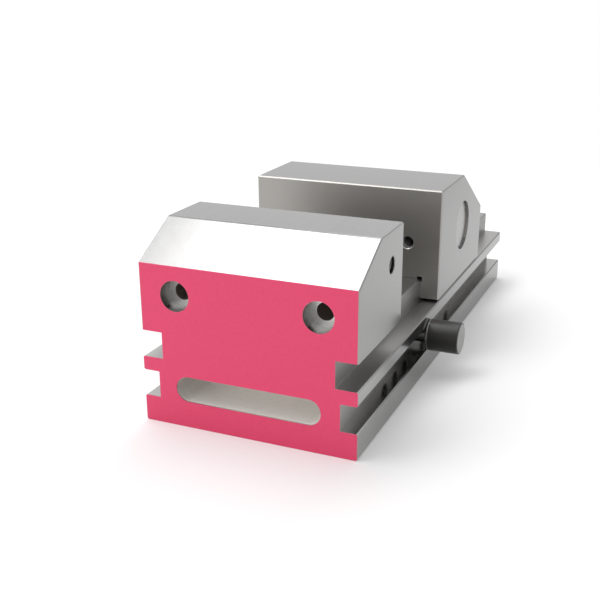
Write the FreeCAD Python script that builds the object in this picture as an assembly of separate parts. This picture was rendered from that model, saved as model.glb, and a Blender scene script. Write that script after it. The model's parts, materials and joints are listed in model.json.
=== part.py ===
import FreeCAD, Part
import math
import os

# Precision grinding vise, in millimetres.
# +X points to the right seen from the front end, +Y to the rear and +Z up.
# The origin is the centre of the ground underside of the body.

# Body: base flange, neck, rail and guide along the whole length
width = 70.0
body_length = 184.2
flange_height = 8.5
neck_height = 8.5
neck_inset = 5.3
rail_height = 4.5
guide_height = 8.0
guide_inset = 6.9
edge_bevel = 0.4

# Jaws
jaw_height = 32.0
wing_gap = 0.5
fixed_jaw_thickness = 38.2
front_slope_depth = 18.0
front_slope_height = 10.0
jaw_opening = 43.6
moving_jaw_top = 30.0
rear_slope_depth = 29.7
rear_slope_height = 17.8
skirt_gap = 0.9
guide_clearance = 0.04
relief_depth = 0.7
relief_reach = 1.1

# Screw holes for jaw plates and for a work stop
plate_hole_spacing = 46.0
plate_hole_rise = 12.7
plate_screw_hole = 5.5
counterbore_diameter = 9.6
counterbore_depth = 5.5
plate_tap_hole = 4.2
plate_tap_depth = 14.0
stop_tap_hole = 5.0
stop_tap_depth = 14.0
stop_hole_setback = 27.8
stop_hole_rise = 21.3
mouth_bevel = 0.3
drill_point_angle = 118.0

# Clamping slot across the front end
front_slot_width = 47.5
front_slot_height = 8.2
front_slot_depth = 16.0
front_slot_level = 12.65

# Index holes and index pin
index_count = 8
index_pitch = 10.6
first_index_setback = 39.6
index_station = 3
pin_level = 13.3
pin_diameter = 6.0
pin_tip_inset = 2.0
pin_tip_bevel = 0.8
running_clearance = 0.03

# Knob of the index pin
knob_diameter = 11.0
knob_length = 11.5
sleeve_wall = 0.5
core_proud = 0.2
collar_thickness = 0.7
ring_section = 0.8
ring_setback = 4.0

# Pivot barrel across the moving jaw
barrel_diameter = 18.2
barrel_setback = 30.6
barrel_rise = 12.85
barrel_recess = 0.85
barrel_bevel = 0.2
head_seat_depth = 5.7
lower_seat_depth = 1.5
seat_clearance = 0.2

# Travel of the moving jaw with the index pin in its hole
clamp_stroke = 12.0
release_stroke = 0.6

# Clamping screw and what sits on it
screw_diameter = 8.0
thread_mean_diameter = 7.2
screw_length = 40.0
head_diameter = 13.0
head_height = 8.0
head_bevel = 0.5
socket_width = 6.0
socket_depth = 4.0
shank_clearance = 0.15
washer_diameter = 13.4
washer_thickness = 1.5
lower_washer_diameter = 11.6
lower_washer_thickness = 1.0
keeper_ring_diameter = 10.8
keeper_ring_thickness = 1.0
keeper_groove_diameter = 6.8
keeper_ring_opening = 60.0
seat_gap = 0.1

# Return spring between the keeper ring and the pull block
spring_wire = 1.0
spring_mean_diameter = 9.6
spring_turns = 4.0

# Pull block in the slot of the guide
block_width = 14.4
block_side_clearance = 0.3
block_eye_radius = 6.2
block_length = 22.0
block_bevel = 4.2
block_slot_clearance = 0.6
block_bore_floor = 4.8
slot_hood_rise = 9.9

# Room round the screw and its head inside the moving jaw
head_room = 0.4
spring_room = 1.0
tilt_margin = 0.4
lip_thickness = 3.4

# Levels and stations worked out from the sizes above
front = -body_length / 2.0
rear = body_length / 2.0
neck_top = flange_height + neck_height
rail_top = neck_top + rail_height
guide_top = rail_top + guide_height
jaw_top = guide_top + jaw_height
half_width = width / 2.0
neck_half = half_width - neck_inset
guide_half = half_width - guide_inset
fixed_face = front + fixed_jaw_thickness
moving_face = fixed_face + jaw_opening
moving_rear = moving_face + moving_jaw_top + rear_slope_depth
channel_half = guide_half + guide_clearance
channel_top = guide_top + guide_clearance
skirt_bottom = rail_top + skirt_gap
plate_hole_level = guide_top + plate_hole_rise
core_radius = knob_diameter / 2.0 - sleeve_wall
pin_station = front + first_index_setback + index_station * index_pitch
pin_hole_radius = pin_diameter / 2.0 + running_clearance
barrel_station = moving_face + barrel_setback
barrel_level = guide_top + barrel_rise
barrel_radius = barrel_diameter / 2.0
barrel_half = half_width - barrel_recess
head_seat_offset = barrel_radius - head_seat_depth
lower_seat_offset = barrel_radius - lower_seat_depth
screw_run = barrel_station - pin_station
screw_rise = barrel_level - pin_level
screw_reach = math.hypot(screw_run, screw_rise)
screw_angle = math.degrees(math.atan2(screw_rise, screw_run))
lowest_angle = math.degrees(math.atan2(screw_rise, screw_run + release_stroke)) - tilt_margin
steepest_angle = math.degrees(math.atan2(screw_rise, screw_run - clamp_stroke)) + tilt_margin
slot_half = block_width / 2.0 + block_side_clearance
slot_floor = pin_level - block_eye_radius - block_slot_clearance

# Directions
along_x = FreeCAD.Vector(1, 0, 0)
along_y = FreeCAD.Vector(0, 1, 0)
along_z = FreeCAD.Vector(0, 0, 1)

# Distance within which a corner counts as lying on a plane
touch_tolerance = 0.001


def block_between(x0, x1, y0, y1, z0, z1):
    """Box between two corners."""
    return Part.makeBox(x1 - x0, y1 - y0, z1 - z0, FreeCAD.Vector(x0, y0, z0))


def cylinder(radius, length, start, direction):
    """Round bar from a start point along a direction."""
    return Part.makeCylinder(radius, length, start, direction)


def cone(radius, end_radius, length, start, direction):
    """Taper from a start point along a direction."""
    return Part.makeCone(radius, end_radius, length, start, direction)


def extrude_outline(points, sweep):
    """Straight-sided outline pushed along one vector."""
    wire = Part.makePolygon(points + [points[0]])
    return Part.Face(wire).extrude(sweep)


def cross_section(points, y0, y1):
    """Outline of (x, z) points, swept along the vise from y0 to y1."""
    outline = [FreeCAD.Vector(x, y0, z) for x, z in points]
    return extrude_outline(outline, along_y * (y1 - y0))


def side_outline(points, half_span):
    """Outline of (y, z) points, swept across the vise to both sides."""
    outline = [FreeCAD.Vector(-half_span, y, z) for y, z in points]
    return extrude_outline(outline, along_x * (2.0 * half_span))


def mirrored(points):
    """Right half of a section, closed by its mirror image on the left."""
    return points + [(-x, z) for x, z in reversed(points)]


def turned(profile):
    """Solid of revolution about Z from (radius, z) points."""
    outline = [FreeCAD.Vector(r, 0, z) for r, z in profile]
    wire = Part.makePolygon(outline + [outline[0]])
    return Part.Face(wire).revolve(FreeCAD.Vector(0, 0, 0), along_z, 360.0)


def turned_across(profile, y, z):
    """Solid of revolution about a cross axis at (y, z), from (x, radius) points."""
    outline = [FreeCAD.Vector(x, y, z + r) for x, r in profile]
    wire = Part.makePolygon(outline + [outline[0]])
    return Part.Face(wire).revolve(FreeCAD.Vector(0, y, z), along_x, 360.0)


def place_on_screw(shape, offset=0.0):
    """Move a shape made about Z onto the screw's axis, its zero at the barrel's centre plus an offset."""
    placed = shape.copy()
    placed.translate(along_z * offset)
    placed.rotate(FreeCAD.Vector(0, 0, 0), along_x, screw_angle - 90.0)
    placed.translate(FreeCAD.Vector(0, barrel_station, barrel_level))
    return placed


def tapped_hole(diameter, depth, mouth, direction):
    """Blind hole with a drill point and a bevelled mouth; the direction runs into the metal."""
    radius = diameter / 2.0
    point = radius / math.tan(math.radians(drill_point_angle / 2.0))
    hole = cylinder(radius, depth, mouth, direction)
    tip = cone(radius, 0.0, point, mouth + direction * depth, direction)
    bevel = cone(radius + mouth_bevel, radius, mouth_bevel, mouth, direction)
    return hole.fuse([tip, bevel])


def body_bars():
    """Base flange, neck, rail and guide as one long section."""
    b = edge_bevel
    right = [
        (half_width - b, 0.0), (half_width, b),
        (half_width, flange_height - b), (half_width - b, flange_height),
        (neck_half, flange_height), (neck_half, neck_top),
        (half_width - b, neck_top), (half_width, neck_top + b),
        (half_width, rail_top - b), (half_width - b, rail_top),
        (guide_half, rail_top), (guide_half, guide_top - b), (guide_half - b, guide_top),
    ]
    return cross_section(mirrored(right), front, rear)


def on_plane(edge, plane):
    """Whether both ends of an edge lie on a plane, given as a point and a normal."""
    point, normal = plane
    return all(abs((vertex.Point - point).dot(normal)) < touch_tolerance for vertex in edge.Vertexes)


def outer_edges(shape, planes):
    """Straight edges in which two of a jaw's outside planes meet."""
    return [edge for edge in shape.Edges if sum(on_plane(edge, plane) for plane in planes) > 1]


def side_planes():
    """Ground sides that both jaws and the body share."""
    return [(along_x * half_width, along_x), (along_x * -half_width, along_x)]


def fixed_jaw():
    """Fixed jaw at the front end, with its sloping front shoulder."""
    lower = guide_top - guide_height / 2.0
    root = block_between(-guide_half, guide_half, front, fixed_face, lower, guide_top + wing_gap)
    underside = guide_top + wing_gap
    profile = [
        (front, underside), (front, jaw_top - front_slope_height),
        (front + front_slope_depth, jaw_top), (fixed_face, jaw_top), (fixed_face, underside),
    ]
    head = side_outline(profile, half_width)
    slope_normal = FreeCAD.Vector(0, -front_slope_height, front_slope_depth).normalize()
    faces = [
        (along_z * jaw_top, along_z), (along_y * fixed_face, along_y),
        (FreeCAD.Vector(0, front + front_slope_depth, jaw_top), slope_normal),
    ]
    edges = outer_edges(head, side_planes() + faces)
    edges += outer_edges(head, side_planes() + [(along_y * front, along_y)])
    return head.makeChamfer(edge_bevel, edges).fuse(root)


def plate_hole_xs():
    """Both sides of the jaw plate screw pattern."""
    return (-plate_hole_spacing / 2.0, plate_hole_spacing / 2.0)


def fixed_jaw_holes():
    """Counterbored screw holes through the fixed jaw, and the tapped hole for a work stop."""
    cuts = []
    radius = plate_screw_hole / 2.0
    for x in plate_hole_xs():
        mouth = FreeCAD.Vector(x, front, plate_hole_level)
        cuts.append(cylinder(radius, fixed_jaw_thickness, mouth, along_y))
        cuts.append(cylinder(counterbore_diameter / 2.0, counterbore_depth, mouth, along_y))
        exit_mouth = FreeCAD.Vector(x, fixed_face, plate_hole_level)
        cuts.append(cone(radius + mouth_bevel, radius, mouth_bevel, exit_mouth, -along_y))
    stop = FreeCAD.Vector(half_width, front + stop_hole_setback, guide_top + stop_hole_rise)
    cuts.append(tapped_hole(stop_tap_hole, stop_tap_depth, stop, -along_x))
    return cuts


def front_slot():
    """Slot with round ends, milled into the front end for a clamp."""
    radius = front_slot_height / 2.0
    reach = front_slot_width / 2.0 - radius
    ends = []
    for x in (-reach, reach):
        start = FreeCAD.Vector(x, front, front_slot_level)
        ends.append(cylinder(radius, front_slot_depth, start, along_y))
    middle = block_between(-reach, reach, front, front + front_slot_depth,
                           front_slot_level - radius, front_slot_level + radius)
    return middle.fuse(ends)


def index_holes():
    """Row of cross holes through the neck, for the index pin."""
    holes = []
    for number in range(index_count):
        y = front + first_index_setback + number * index_pitch
        start = FreeCAD.Vector(-neck_half, y, pin_level)
        holes.append(cylinder(pin_hole_radius, 2.0 * neck_half, start, along_x))
    return holes


def block_slot():
    """Slot in the guide for the pull block, from under the fixed jaw to behind the last index hole."""
    first = front + first_index_setback
    last = first + (index_count - 1) * index_pitch
    slope = math.radians(screw_angle)
    screw_side = screw_diameter / 2.0 + spring_room
    rear_end = last + (guide_top - pin_level) / math.tan(slope) + screw_side / math.sin(slope)
    pocket_radius = block_eye_radius + block_slot_clearance
    open_part = block_between(-slot_half, slot_half, fixed_face, rear_end - slot_half,
                              slot_floor, guide_top + edge_bevel)
    round_end = cylinder(slot_half, guide_top + edge_bevel - slot_floor,
                         FreeCAD.Vector(0, rear_end - slot_half, slot_floor), along_z)
    eye_pocket = cylinder(pocket_radius, 2.0 * slot_half,
                          FreeCAD.Vector(-slot_half, first, pin_level), along_x)
    shoulder = block_between(-slot_half, slot_half, first - pocket_radius, fixed_face,
                             pin_level, pin_level + slot_hood_rise)
    return open_part.fuse([round_end, eye_pocket, shoulder])


def make_body():
    """Body and fixed jaw, ground from one block."""
    solid = body_bars().fuse(fixed_jaw()).removeSplitter()
    cuts = fixed_jaw_holes() + index_holes() + [front_slot(), block_slot()]
    return solid.cut(cuts).removeSplitter()


def screw_fan(side, half_span, room):
    """Space that the tilting screw sweeps on one side of the barrel, from the axis outwards."""
    reach = screw_reach
    centre = (barrel_station, barrel_level)
    low = math.radians(lowest_angle)
    steep = math.radians(steepest_angle)

    def beyond(angle, distance, shift):
        y = centre[0] + side * distance * math.cos(angle) - shift * math.sin(angle)
        z = centre[1] + side * distance * math.sin(angle) + shift * math.cos(angle)
        return (y, z)

    points = [
        beyond(steep, 0.0, side * room), beyond(steep, reach, side * room),
        beyond(low, reach, -side * room), beyond(low, 0.0, -side * room),
    ]
    return side_outline(points, half_span)


def jaw_bar():
    """Moving jaw's section: a saddle over the guide, with relief cuts in the channel's corners."""
    b = edge_bevel
    right = [(channel_half + b, skirt_bottom), (half_width, skirt_bottom), (half_width, jaw_top)]
    inside = [
        (channel_half - relief_reach, channel_top),
        (channel_half - relief_reach, channel_top + relief_depth),
        (channel_half + relief_depth, channel_top + relief_depth),
        (channel_half + relief_depth, channel_top - relief_reach),
        (channel_half, channel_top - relief_reach), (channel_half, skirt_bottom + b),
    ]
    outline = inside + right
    return cross_section(mirrored(outline), moving_face, moving_rear)


def rear_slope():
    """Wedge taken off the jaw's upper rear corner, which lets a hex key reach the screw."""
    points = [
        (moving_face + moving_jaw_top, jaw_top), (moving_rear, jaw_top - rear_slope_height),
        (moving_rear + edge_bevel, jaw_top - rear_slope_height),
        (moving_rear + edge_bevel, jaw_top + edge_bevel),
        (moving_face + moving_jaw_top, jaw_top + edge_bevel),
    ]
    return side_outline(points, half_width + edge_bevel)


def jaw_cavity():
    """Room under the barrel for the screw, the spring and the top of the pull block."""
    fan = screw_fan(-1.0, slot_half, spring_mean_diameter / 2.0 + spring_wire / 2.0 + spring_room)
    keep = block_between(-slot_half, slot_half, moving_face + lip_thickness, moving_rear,
                         skirt_bottom, barrel_level + barrel_radius)
    return fan.common(keep)


def key_pocket():
    """Round-ended opening from the rear slope down to the barrel, for the screw's head and the key."""
    radius = washer_diameter / 2.0 + head_room
    centre = FreeCAD.Vector(0, barrel_station, barrel_level)
    ends = []
    for angle in (lowest_angle, steepest_angle):
        slope = math.radians(angle)
        way = FreeCAD.Vector(0, math.cos(slope), math.sin(slope))
        ends.append(cylinder(radius, screw_reach, centre, way))
    low = math.radians(lowest_angle)
    steep = math.radians(steepest_angle)
    middle = side_outline([
        (barrel_station, barrel_level),
        (barrel_station + screw_reach * math.cos(low), barrel_level + screw_reach * math.sin(low)),
        (barrel_station + screw_reach * math.cos(steep), barrel_level + screw_reach * math.sin(steep)),
    ], radius)
    return middle.fuse(ends)


def make_movable_jaw():
    """Moving jaw, which straddles the guide."""
    solid = jaw_bar().cut(rear_slope())
    slope_normal = FreeCAD.Vector(0, rear_slope_height, rear_slope_depth).normalize()
    faces = [
        (along_z * jaw_top, along_z), (along_y * moving_face, along_y), (along_y * moving_rear, along_y),
        (FreeCAD.Vector(0, moving_rear, jaw_top - rear_slope_height), slope_normal),
    ]
    solid = solid.makeChamfer(edge_bevel, outer_edges(solid, side_planes() + faces))
    bore = cylinder(barrel_radius + running_clearance, 2.0 * half_width,
                    FreeCAD.Vector(-half_width, barrel_station, barrel_level), along_x)
    cuts = [bore, jaw_cavity(), key_pocket()]
    for x in plate_hole_xs():
        mouth = FreeCAD.Vector(x, moving_face, plate_hole_level)
        cuts.append(tapped_hole(plate_tap_hole, plate_tap_depth, mouth, along_y))
    return solid.cut(cuts)


def make_pivot_barrel():
    """Hardened cross barrel, with a seat for the screw's head above and a flat below."""
    b = barrel_bevel
    bar = turned_across([
        (-barrel_half, 0.0), (-barrel_half, barrel_radius - b), (-barrel_half + b, barrel_radius),
        (barrel_half - b, barrel_radius), (barrel_half, barrel_radius - b), (barrel_half, 0.0),
    ], barrel_station, barrel_level)
    shank_hole = Part.makeCylinder(screw_diameter / 2.0 + shank_clearance, barrel_diameter * 2.0,
                                   along_z * -barrel_diameter)
    head_seat = Part.makeCylinder(washer_diameter / 2.0 + seat_clearance, barrel_diameter,
                                  along_z * head_seat_offset)
    lower_flat = Part.makeCylinder(lower_washer_diameter / 2.0 + seat_clearance, barrel_diameter,
                                   along_z * (-lower_seat_offset - barrel_diameter))
    cuts = [place_on_screw(shape) for shape in (shank_hole, head_seat, lower_flat)]
    return bar.cut(cuts)


def head_underside():
    """Height of the screw head's bearing face above the barrel's axis, along the screw."""
    return head_seat_offset + washer_thickness


def keeper_top():
    """Height of the keeper ring's upper face, along the screw."""
    return -lower_seat_offset - lower_washer_thickness - seat_gap


def hex_socket():
    """Hexagon socket for the key, down from the top of the head."""
    sides = 6
    corner = socket_width / math.sqrt(3.0)
    top = head_underside() + head_height
    corners = []
    for number in range(sides):
        turn = 2.0 * math.pi * number / sides
        corners.append(FreeCAD.Vector(corner * math.cos(turn), corner * math.sin(turn), top))
    return extrude_outline(corners, along_z * -socket_depth)


def make_clamping_screw():
    """Socket head screw with a plain shank through the barrel; the thread is drawn at its mean diameter."""
    head = head_diameter / 2.0
    shank = screw_diameter / 2.0
    thread = thread_mean_diameter / 2.0
    groove = keeper_groove_diameter / 2.0
    under = head_underside()
    ring_top = keeper_top()
    ring_bottom = ring_top - keeper_ring_thickness
    tip = under - screw_length
    profile = [
        (0.0, tip), (thread - edge_bevel, tip), (thread, tip + edge_bevel),
        (thread, ring_bottom - 2.0 * edge_bevel), (shank, ring_bottom - edge_bevel),
        (shank, ring_bottom), (groove, ring_bottom), (groove, ring_top), (shank, ring_top),
        (shank, under), (head, under), (head, under + head_height - head_bevel),
        (head - head_bevel, under + head_height), (0.0, under + head_height),
    ]
    return place_on_screw(turned(profile).cut(hex_socket()))


def make_washer(diameter, thickness, base):
    """Flat ring about the screw, with its lower face at a height along the screw."""
    inner = screw_diameter / 2.0 + shank_clearance
    outer = diameter / 2.0
    profile = [(inner, base), (outer, base), (outer, base + thickness), (inner, base + thickness)]
    return place_on_screw(turned(profile))


def make_keeper_ring():
    """Open ring snapped into the screw's groove; it lifts the jaw back when the screw is let out."""
    base = keeper_top() - keeper_ring_thickness
    inner = keeper_groove_diameter / 2.0
    outer = keeper_ring_diameter / 2.0
    ring = turned([
        (inner, base), (outer, base), (outer, keeper_top()), (inner, keeper_top()),
    ])
    half_gap = math.radians(keeper_ring_opening / 2.0)
    reach = 2.0 * outer
    mouth = [
        FreeCAD.Vector(0, 0, base), FreeCAD.Vector(reach * math.sin(half_gap), reach, base),
        FreeCAD.Vector(-reach * math.sin(half_gap), reach, base),
    ]
    return place_on_screw(ring.cut(extrude_outline(mouth, along_z * keeper_ring_thickness)))


def make_return_spring():
    """Compression spring of square wire between the keeper ring and the pull block."""
    half_wire = spring_wire / 2.0
    top = keeper_top() - keeper_ring_thickness - seat_gap - half_wire
    bottom = block_length - screw_reach + seat_gap + half_wire
    radius = spring_mean_diameter / 2.0
    helix = Part.makeHelix((top - bottom) / spring_turns, top - bottom, radius)
    turn_round = [(-1, -1), (1, -1), (1, 1), (-1, 1), (-1, -1)]
    corners = [(radius + x * half_wire, z * half_wire) for x, z in turn_round]
    section = Part.makePolygon([FreeCAD.Vector(x, 0, z) for x, z in corners])
    coil = Part.Wire(helix.Edges).makePipeShell([section], True, True)
    return place_on_screw(coil, bottom)


def make_pull_block():
    """Block that hangs on the index pin in the slot and takes the screw's thread."""
    r = block_eye_radius
    left = FreeCAD.Vector(-block_width / 2.0, -r, 0)
    right = FreeCAD.Vector(-block_width / 2.0, r, 0)
    bottom = FreeCAD.Vector(-block_width / 2.0, 0, -r)
    top_right = FreeCAD.Vector(-block_width / 2.0, r, block_length)
    top_left = FreeCAD.Vector(-block_width / 2.0, -r + block_bevel, block_length)
    side_left = FreeCAD.Vector(-block_width / 2.0, -r, block_length - block_bevel)
    edges = [
        Part.Arc(left, bottom, right).toShape(), Part.makeLine(right, top_right),
        Part.makeLine(top_right, top_left), Part.makeLine(top_left, side_left),
        Part.makeLine(side_left, left),
    ]
    solid = Part.Face(Part.Wire(edges)).extrude(along_x * block_width)
    pin_hole = cylinder(pin_hole_radius, block_width, FreeCAD.Vector(-block_width / 2.0, 0, 0), along_x)
    thread_hole = cylinder(screw_diameter / 2.0, block_length, along_z * block_bore_floor, along_z)
    wide = screw_diameter / 2.0 + mouth_bevel
    mouth = cone(wide, screw_diameter / 2.0, mouth_bevel, along_z * block_length, -along_z)
    return place_on_screw(solid.cut([pin_hole, thread_hole, mouth]), -screw_reach)


def ring_station():
    """Place of the retaining ring on the pin, inside the right wall of the neck."""
    return neck_half - ring_setback


def make_index_pin():
    """Index pin, turned in one piece with the core of its knob."""
    stem = pin_diameter / 2.0
    groove = stem - ring_section
    tip = -(neck_half - pin_tip_inset)
    end = half_width + knob_length
    left = ring_station() - ring_section
    right = ring_station() + ring_section
    profile = [
        (tip, 0.0), (tip, stem - pin_tip_bevel), (tip + pin_tip_bevel, stem), (left, stem),
        (left, groove), (right, groove), (right, stem), (half_width, stem),
        (half_width + collar_thickness, stem), (half_width + collar_thickness, core_radius),
        (end - core_proud, core_radius), (end, core_radius - core_proud), (end, 0.0),
    ]
    return turned_across(profile, pin_station, pin_level)


def make_pin_collar():
    """Steel collar whose face stops against the sides of the flange and the rail."""
    outer = knob_diameter / 2.0
    stem = pin_diameter / 2.0
    profile = [
        (half_width, stem), (half_width, outer - mouth_bevel), (half_width + mouth_bevel, outer),
        (half_width + collar_thickness, outer), (half_width + collar_thickness, stem),
    ]
    return turned_across(profile, pin_station, pin_level)


def make_knob_sleeve():
    """Black sleeve pressed over the core of the knob."""
    outer = knob_diameter / 2.0
    start = half_width + collar_thickness
    end = half_width + knob_length - core_proud
    profile = [
        (start, core_radius), (start, outer), (end - core_proud, outer),
        (end, outer - core_proud), (end, core_radius),
    ]
    return turned_across(profile, pin_station, pin_level)


def make_pin_ring():
    """Flat rubber ring in the pin's groove, which keeps the pin from sliding out by itself."""
    outer = pin_diameter / 2.0
    inner = outer - ring_section
    left = ring_station() - ring_section
    right = ring_station() + ring_section
    return turned_across([(left, inner), (left, outer), (right, outer), (right, inner)],
                         pin_station, pin_level)


def main():
    """Write each piece to its own file."""
    os.makedirs("parts", exist_ok=True)
    pieces = {
        "body": make_body(),
        "movable_jaw": make_movable_jaw(),
        "pivot_barrel": make_pivot_barrel(),
        "clamping_screw": make_clamping_screw(),
        "head_washer": make_washer(washer_diameter, washer_thickness, head_seat_offset),
        "lower_washer": make_washer(lower_washer_diameter, lower_washer_thickness,
                                    -lower_seat_offset - lower_washer_thickness),
        "keeper_ring": make_keeper_ring(),
        "return_spring": make_return_spring(),
        "pull_block": make_pull_block(),
        "index_pin": make_index_pin(),
        "pin_collar": make_pin_collar(),
        "knob_sleeve": make_knob_sleeve(),
        "pin_ring": make_pin_ring(),
    }
    for name, shape in pieces.items():
        shape.exportStep("parts/%s.step" % name)
        print(name, shape.isValid(), len(shape.Solids), round(shape.Volume, 2))


main()
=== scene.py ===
import json
import math

import bmesh
import bpy
from mathutils import Matrix, Vector

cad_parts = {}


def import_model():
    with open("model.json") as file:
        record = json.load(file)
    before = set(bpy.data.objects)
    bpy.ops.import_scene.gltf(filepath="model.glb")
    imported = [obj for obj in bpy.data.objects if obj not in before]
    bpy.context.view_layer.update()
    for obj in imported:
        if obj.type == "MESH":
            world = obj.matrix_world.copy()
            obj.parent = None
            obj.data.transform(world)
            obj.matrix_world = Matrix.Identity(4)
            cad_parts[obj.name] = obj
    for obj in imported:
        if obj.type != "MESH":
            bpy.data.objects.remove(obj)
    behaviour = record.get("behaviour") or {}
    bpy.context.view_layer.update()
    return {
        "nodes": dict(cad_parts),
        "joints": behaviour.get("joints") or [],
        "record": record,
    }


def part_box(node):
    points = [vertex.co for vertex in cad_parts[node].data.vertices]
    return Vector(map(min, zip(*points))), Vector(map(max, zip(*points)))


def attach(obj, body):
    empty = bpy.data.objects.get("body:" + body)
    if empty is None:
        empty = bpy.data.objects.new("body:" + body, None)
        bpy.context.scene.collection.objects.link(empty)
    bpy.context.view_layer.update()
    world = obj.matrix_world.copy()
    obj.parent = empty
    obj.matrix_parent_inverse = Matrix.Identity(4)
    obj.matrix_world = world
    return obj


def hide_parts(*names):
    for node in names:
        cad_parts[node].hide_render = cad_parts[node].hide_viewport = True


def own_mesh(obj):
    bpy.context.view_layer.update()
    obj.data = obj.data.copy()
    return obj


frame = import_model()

NODES = frame["nodes"]
JOINTS = {joint["name"]: joint for joint in frame["joints"]}
MOUNTS = {mount["name"]: mount for mount in frame["record"]["mounts"]}
MM_PER_M = 1000.0

# Places taken from the frame, in metres
BODY_LOW, BODY_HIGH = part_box("body")
FRONT_FACE = BODY_LOW.y
BARREL_CENTRE = Vector(JOINTS["barrel_tilt"]["pos_m"])
PIN_CENTRE = Vector(JOINTS["block_tilt"]["pos_m"])
SCREW_AXIS = Vector(JOINTS["screw_turn"]["axis"]).normalized()
PLATE_HOLE = Vector(MOUNTS["fixed_jaw_screws"]["pos_m"])
PLATE_HOLE.x = MOUNTS["fixed_jaw_screws"]["dims"]["spacing_x_mm"] / 2.0 / MM_PER_M
THROAT_FRONT = PLATE_HOLE.y
STOP_HOLE = Vector(MOUNTS["work_stop_hole"]["pos_m"])
ALONG_X = Vector((1.0, 0.0, 0.0))
ALONG_Y = Vector((0.0, 1.0, 0.0))

# Camera, worked out from the straight edges of the photographed vise
PHOTO_SIZE = 600.0
FOCAL_PIXELS = 938.8
SENSOR_WIDTH = 36.0
CAMERA_AZIMUTH = math.radians(23.63)
CAMERA_ELEVATION = math.radians(19.40)
CAMERA_ROLL = math.radians(-0.31)
CAMERA_FROM_FRONT = Vector((0.11576, -0.22461, 0.13298))
CAMERA_CLIP_START = 0.01

# Threads, in metres; the screw's stations run along it from the barrel's centre, with the head on
# the plus side, and the ridge's half widths are shares of the pitch
THREAD_STEPS = 40
THREAD_LEAST_FADE = 0.05
THREAD_FOOT_HALF = 0.40
THREAD_CREST_HALF = 0.08
SCREW_TIP = -0.0345
SCREW_THREAD_MIDDLE = -0.0183
SCREW_THREAD_TOP = -0.0108
SCREW_FOOT = 0.00355
SCREW_CREST = 0.00393
SCREW_CREST_IN_BLOCK = 0.00370
SCREW_PITCH = 0.00125
STOP_THREAD_PITCH = 0.001
PLATE_THREAD_PITCH = 0.0008
TAPPED_THREAD_LENGTH = 0.0105
TAPPED_THREAD_INSET = 0.0007
TAPPED_FOOT_SUNK = 0.00004
TAPPED_CREST_PROUD = 0.00020

# Knurl round the screw's head; each ridge takes this share of its room
KNURL_COUNT = 52
KNURL_FROM = 0.0059
KNURL_TO = 0.0119
KNURL_FOOT = 0.00646
KNURL_CREST = 0.00661
KNURL_RIDGE_SHARE = 0.8

# Return spring between the pull block and the keeper ring
SPRING_BOTTOM = -0.02815
SPRING_TOP = -0.0098
SPRING_RADIUS = 0.0048
SPRING_WIRE_RADIUS = 0.0005
SPRING_TURNS = 5.5
SPRING_CLOSED_TURNS = 0.75
SPRING_STEPS = 36
SPRING_SIDES = 12

# Lights and floor
DOME_LEVEL = 0.55
BACKGROUND_LEVEL = 1.0
SOFTBOX_POWER = 6.3
SOFTBOX_WIDTH = 1.30
SOFTBOX_DEPTH = 0.36
SOFTBOX_DISTANCE = 0.85
SOFTBOX_DIRECTION = Vector((-0.28, 0.12, 0.95))
FILL_POWER = 2.1
FILL_SIZE = 0.9
FILL_DISTANCE = 1.1
FILL_DIRECTION = Vector((-0.35, -0.80, 0.48))
WHITE = (1.0, 1.0, 1.0, 1.0)
FLOOR_COLOUR = (0.78, 0.78, 0.78, 1.0)
FLOOR_ROUGHNESS = 0.9
FLOOR_SIZE = 6.0
FLOOR_SHOWN_BRIGHTER = 0.16
FLOOR_FADE_START = 0.20
FLOOR_FADE_END = 0.42
FLOOR_DROP = 0.00005

# How far a face looks along an axis of the object, from 0 to 1, to count as an end or a side, as a
# level ledge, or as a slope between two axes
LOOKS_ALONG = 0.7
LOOKS_UP = 0.9
LOOKS_ASLANT = 0.6

# Spans that most values of a noise lie in, from a wide one to narrow ones
WIDE_SPAN = (0.25, 0.75)
NOISE_SPAN = (0.3, 0.7)
NARROW_SPAN = (0.35, 0.65)
WEAR_SPAN = (0.35, 0.6)

# Outer edges: how open the solid looks from within, at a flat face and at an edge, where the normal
# starts to round, and how wide the edge is on each kind of piece
OPEN_AT_FACE = 0.97
OPEN_AT_EDGE = 0.72
OPEN_SAMPLES = 8
ROUND_FROM = 0.15
ROUND_SAMPLES = 6
GROUND_EDGE = 0.00010
TURNED_EDGE = 0.00015
OXIDE_EDGE = 0.00025
SLEEVE_EDGE = 0.0002

# Ground steel: scales across and along the marks, shares of colour, and roughness on sides with
# what tops, ends, marks and clouds add to it
FINE_MARKS = (5200.0, 45.0)
BROAD_MARKS = (620.0, 9.0)
MARK_DETAIL = 4.0
MARK_CONTRAST = 0.65
CLOUD_SCALE = (38.0, 26.0, 38.0)
BROAD_MARK_SHARE = 0.55
CLOUD_SHARE = 0.45
SIDE_SHARE = 0.8
END_SHARE = 0.9
EDGE_SHARE = 0.4
GROUND_ROUGHNESS = 0.16
TOP_ROUGHER = 0.08
END_ROUGHER = 0.22
FINE_ROUGHER = (-0.03, 0.03)
CLOUD_ROUGHER = (-0.02, 0.03)
BROAD_HEIGHT = 0.0000035
FINE_HEIGHT = 0.0000012

# Grooves along the body: their floors lie nearer to the middle than the reach, and their ledges
# lie below the ledge top and further out than the ledge start
GROOVE_REACH = 0.0300
LEDGE_TOP = 0.0220
LEDGE_START = 0.0275
RAIL_TOP_ABOVE = 0.0165
GROOVE_ROUGHNESS = 0.40
LEDGE_ROUGHNESS = 0.22
RAIL_TOP_ROUGHNESS = 0.36

# Painted light and shade on the body's steel along its length: painted light at the front of flange
# and rail, painted shade towards the rear; the stations are measured along Y
FRONT_TONE_END = -0.066
FRONT_SIDE_GAIN = 0.30
FRONT_LEDGE_GAIN = 0.35
REAR_TONE_START = -0.050
REAR_TONE_END = 0.015
REAR_LOSS = 0.18
REAR_LEDGE_SHARE = 0.4

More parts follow.
